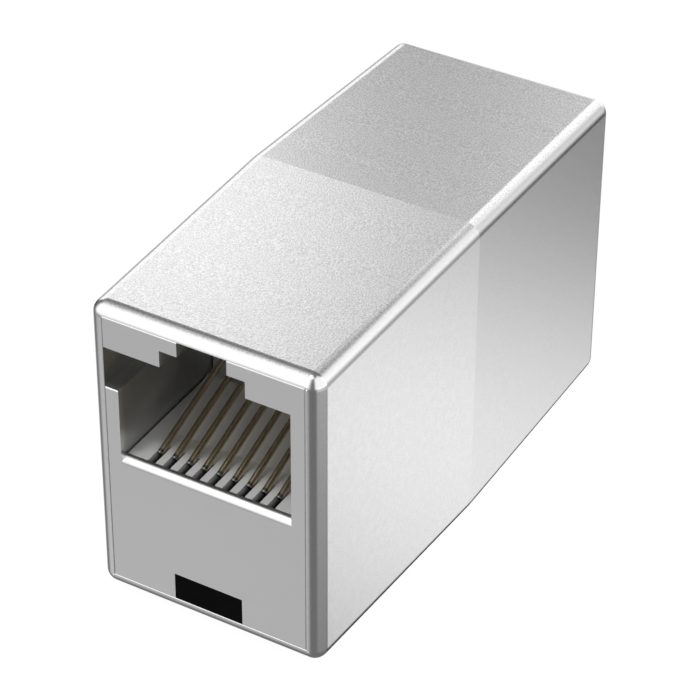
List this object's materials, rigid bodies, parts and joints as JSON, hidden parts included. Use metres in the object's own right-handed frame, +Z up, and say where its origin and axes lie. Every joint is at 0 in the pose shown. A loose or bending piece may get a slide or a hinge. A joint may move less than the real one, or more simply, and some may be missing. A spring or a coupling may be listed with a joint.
{
  "type": "rj45 inline coupler",
  "caption": "Metal-sleeved inline coupler that joins two RJ45 patch leads end to end, with a shielded port at each end.",
  "frame": {"origin": "middle of the line at mid length on which the sleeve rests", "axes": "+Z up, +Y along the sleeve from the front port to the rear port, +X to the right when the front port is seen from outside"},
  "size_m": [0.0162, 0.0362, 0.0218],
  "materials": {
    "shell_metal": "satin",
    "housing_silver": "satin",
    "carrier_plastic": "matte",
    "contact_metal": "satin",
    "board_laminate": "matte",
    "tab_plastic": "matte"
  },
  "bodies": {
    "root": {"shell": "shell_metal", "circuit_board": "board_laminate", "front_jack_housing": "housing_silver", "rear_jack_housing": "housing_silver", "front_contact_carrier": "carrier_plastic", "rear_contact_carrier": "carrier_plastic", "front_lock_tab": "tab_plastic", "rear_lock_tab": "tab_plastic", "front_contact_1": "contact_metal", "front_contact_2": "contact_metal", "front_contact_3": "contact_metal", "front_contact_4": "contact_metal", "front_contact_5": "contact_metal", "front_contact_6": "contact_metal", "front_contact_7": "contact_metal", "front_contact_8": "contact_metal", "front_contact_9": "contact_metal", "rear_contact_1": "contact_metal", "rear_contact_2": "contact_metal", "rear_contact_3": "contact_metal", "rear_contact_4": "contact_metal", "rear_contact_5": "contact_metal", "rear_contact_6": "contact_metal", "rear_contact_7": "contact_metal", "rear_contact_8": "contact_metal", "rear_contact_9": "contact_metal"}
  },
  "joints": []
}
